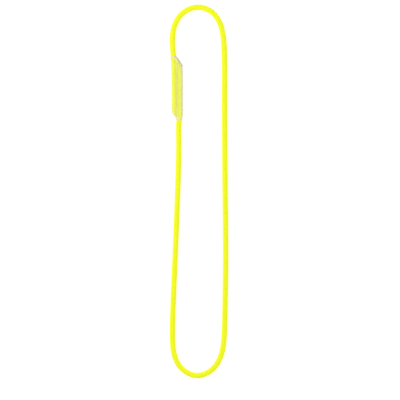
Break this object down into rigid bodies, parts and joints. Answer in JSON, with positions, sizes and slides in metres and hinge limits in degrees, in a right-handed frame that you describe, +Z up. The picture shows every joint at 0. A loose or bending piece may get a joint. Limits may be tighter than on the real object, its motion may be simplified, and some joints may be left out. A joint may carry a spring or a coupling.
{
  "type": "sewn cord sling",
  "caption": "Sewn sling: one fluorescent yellow braided cord in a long closed loop, its overlapped ends stitched side by side under a clear heat-shrunk sleeve.",
  "frame": {"origin": "middle of the sling's outline, on the surface that it lies on", "axes": "+Y along the loop towards the bight beside the sleeve, +X across the loop away from the sleeve, +Z up"},
  "size_m": [0.0883, 0.5632, 0.0092],
  "materials": {
    "sheath_yarn": "braided polyamide yarn, fluorescent yellow, soft sheen",
    "core_yarn": "twisted polyamide yarn, undyed white",
    "sewing_thread": "bonded twisted thread, yellow",
    "melted_nylon": "hot-cut and melted, hard and slightly darker",
    "shrink_film": "clear heat-shrunk film, glossy, hazy at its collars"
  },
  "bodies": {
    "root": {"sheath": "sheath_yarn", "core_strand_inner_1": "core_yarn", "core_strand_inner_2": "core_yarn", "core_strand_inner_3": "core_yarn", "core_strand_outer_1": "core_yarn", "core_strand_outer_2": "core_yarn", "core_strand_outer_3": "core_yarn", "core_strand_outer_4": "core_yarn", "core_strand_outer_5": "core_yarn", "core_strand_outer_6": "core_yarn", "core_strand_outer_7": "core_yarn", "core_strand_outer_8": "core_yarn", "core_strand_outer_9": "core_yarn", "sealed_end_a": "melted_nylon", "sealed_end_b": "melted_nylon", "needle_thread": "sewing_thread", "bobbin_thread": "sewing_thread", "clear_sleeve": "shrink_film"}
  },
  "joints": []
}
